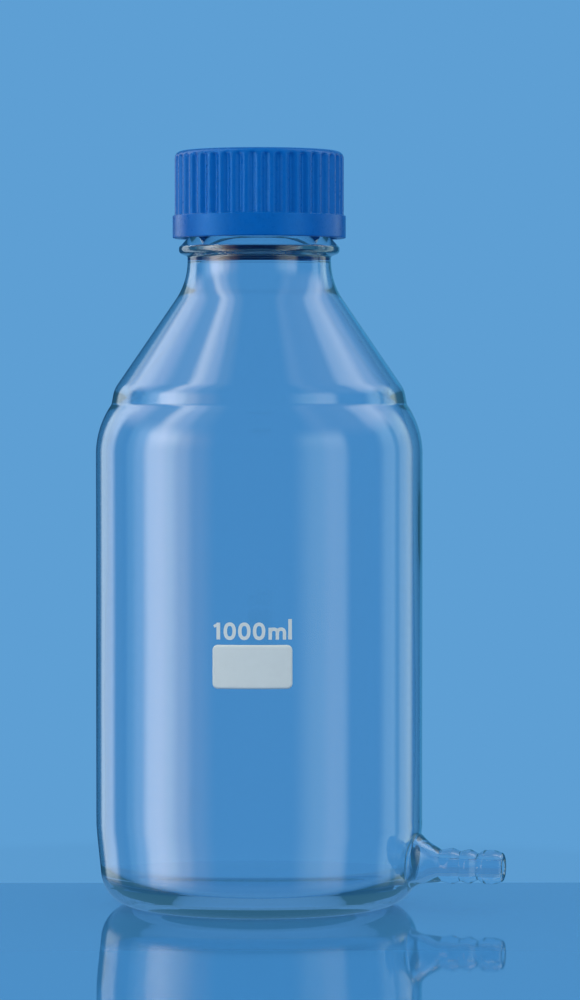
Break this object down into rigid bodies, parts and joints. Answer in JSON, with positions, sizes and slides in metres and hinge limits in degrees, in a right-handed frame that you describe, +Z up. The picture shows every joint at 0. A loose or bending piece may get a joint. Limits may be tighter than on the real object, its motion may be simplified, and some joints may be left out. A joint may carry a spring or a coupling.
{
  "type": "reagent bottle",
  "caption": "Tall glass laboratory bottle with a conical shoulder, a ribbed screw cap, a pouring ring and a ringed hose outlet low on its wall.",
  "frame": {"origin": "on the bottle's axis, in the plane of the ring that it stands on", "axes": "+Z up the bottle's axis towards the cap, +X along the hose outlet towards its tip, -Y towards the writing panel's side"},
  "size_m": [0.1277, 0.1012, 0.2325],
  "materials": {
    "clear_glass": "polished",
    "blue_plastic": "satin moulded",
    "white_seal": "smooth",
    "white_enamel": "matt"
  },
  "bodies": {
    "bottle": {"bottle": "clear_glass", "outlet_nozzle": "clear_glass", "pouring_ring": "blue_plastic", "writing_panel": "white_enamel"},
    "seal": {"cap_seal": "white_seal"},
    "cap": {"screw_cap": "blue_plastic"}
  },
  "joints": [
    {"name": "cap_lift", "type": "slide", "parent": "bottle", "child": "seal", "axis": [0, 0, 1], "range_m": [0, 0.028]},
    {"name": "cap_turn", "type": "hinge", "parent": "seal", "child": "cap", "pos_m": [0, 0, 0.22], "axis": [0, 0, 1], "range_deg": [0, 2520]}
  ],
  "couplings": [
    {"joint": "cap_lift", "follows": "cap_turn", "m_per_rad": 0.00063662}
  ]
}
